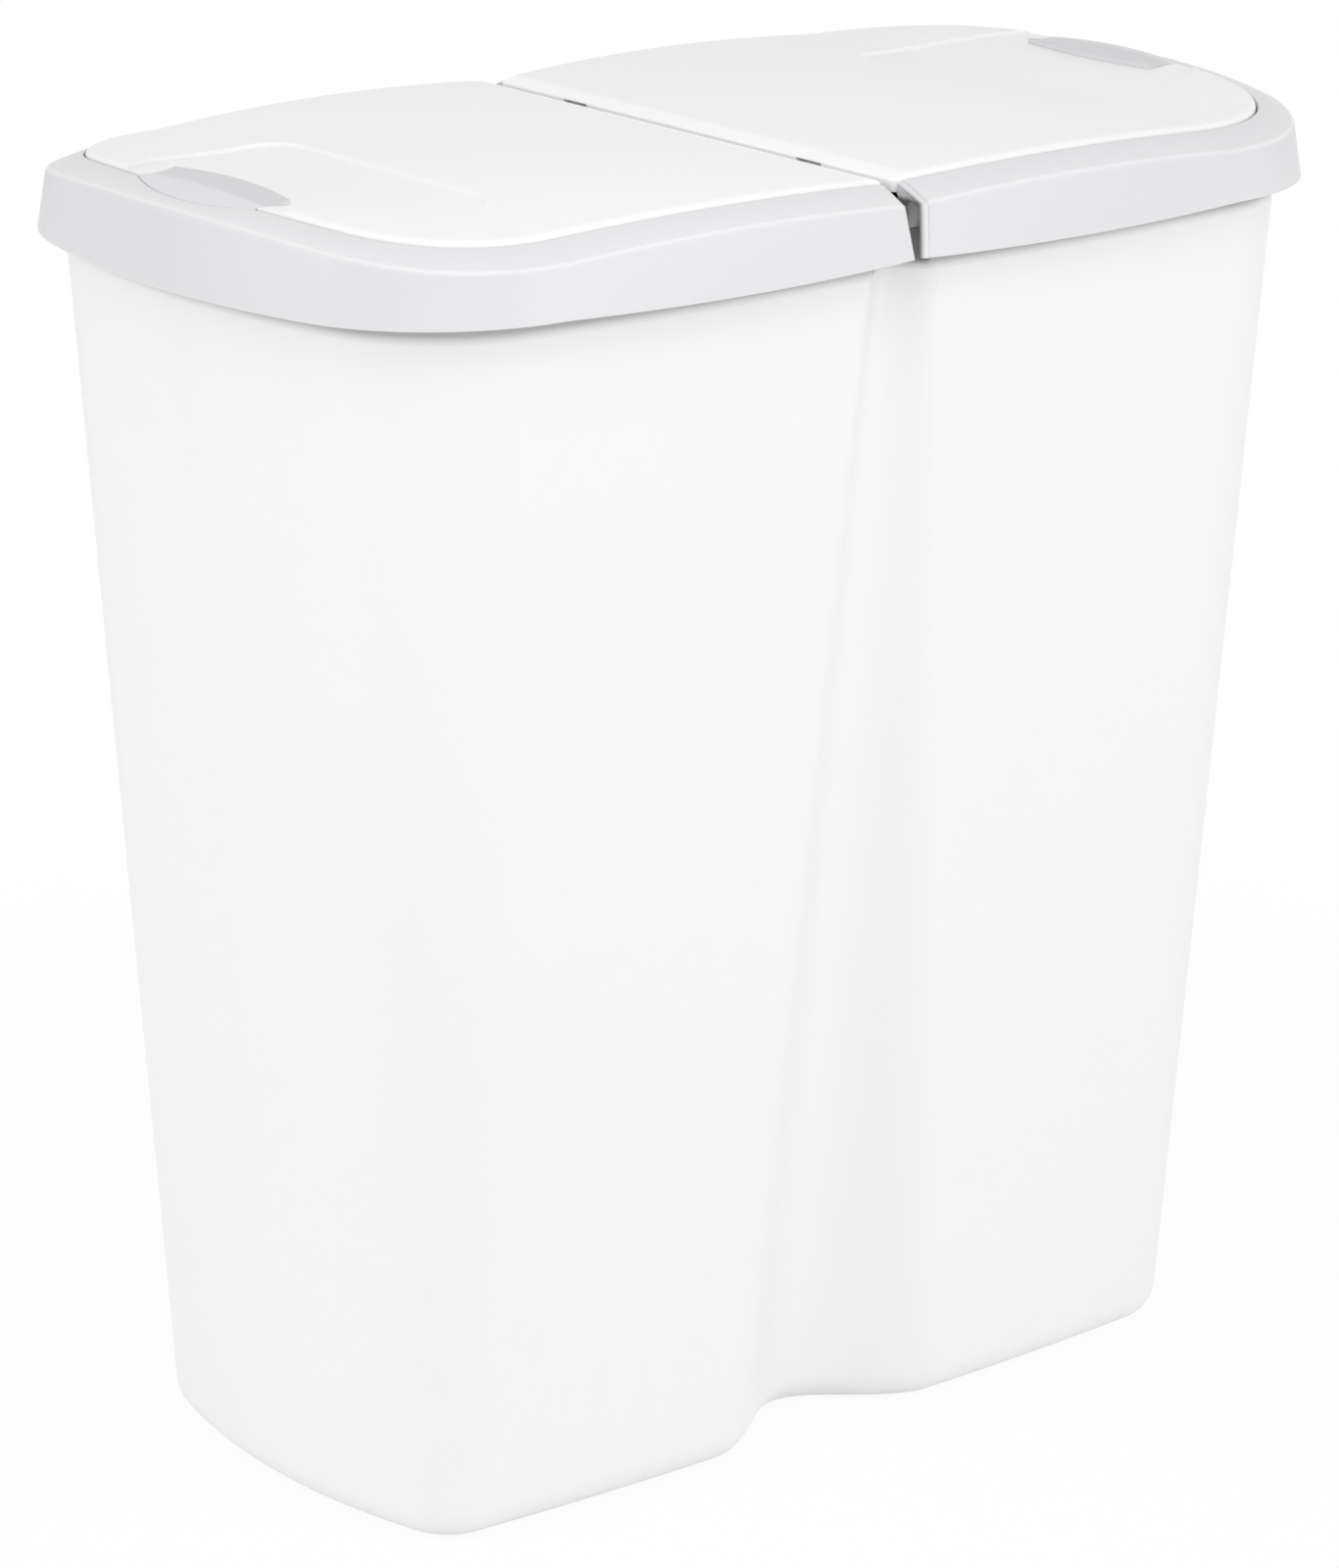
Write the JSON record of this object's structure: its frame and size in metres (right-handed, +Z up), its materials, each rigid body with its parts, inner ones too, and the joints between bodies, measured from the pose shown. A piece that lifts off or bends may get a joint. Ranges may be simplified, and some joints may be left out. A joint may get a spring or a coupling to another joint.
{
  "type": "double recycling bin",
  "caption": "Wide tapered recycling bin with a divided body, a rim frame, lids hinged along the middle and a press latch at the outer end of each lid.",
  "frame": {"origin": "on the floor, under the middle of the bin", "axes": "+Z up, X along the length from the left lid to the right lid, -Y towards the front"},
  "size_m": [0.5, 0.2872, 0.5257],
  "materials": {
    "body_white": "smooth moulded polypropylene, satin gloss",
    "frame_grey": "smooth moulded polypropylene, soft satin"
  },
  "bodies": {
    "bin": {"body_shell": "body_white", "rim_frame": "frame_grey"},
    "right_lid": {"lid_right": "body_white"},
    "left_lid": {"lid_left": "body_white"},
    "right_latch": {"latch_right": "frame_grey"},
    "left_latch": {"latch_left": "frame_grey"}
  },
  "joints": [
    {"name": "lid_right_hinge", "type": "hinge", "parent": "bin", "child": "right_lid", "pos_m": [0.008, 0, 0.513], "axis": [0, -1, 0], "range_deg": [0, 85]},
    {"name": "lid_left_hinge", "type": "hinge", "parent": "bin", "child": "left_lid", "pos_m": [-0.008, 0, 0.513], "axis": [0, 1, 0], "range_deg": [0, 85]},
    {"name": "latch_right_press", "type": "hinge", "parent": "right_lid", "child": "right_latch", "pos_m": [0.21679, 0, 0.51806], "axis": [0, 1, 0], "range_deg": [0, 2], "stiffness_Nm_per_rad": 1},
    {"name": "latch_left_press", "type": "hinge", "parent": "left_lid", "child": "left_latch", "pos_m": [-0.21679, 0, 0.51806], "axis": [0, -1, 0], "range_deg": [0, 2], "stiffness_Nm_per_rad": 1}
  ]
}
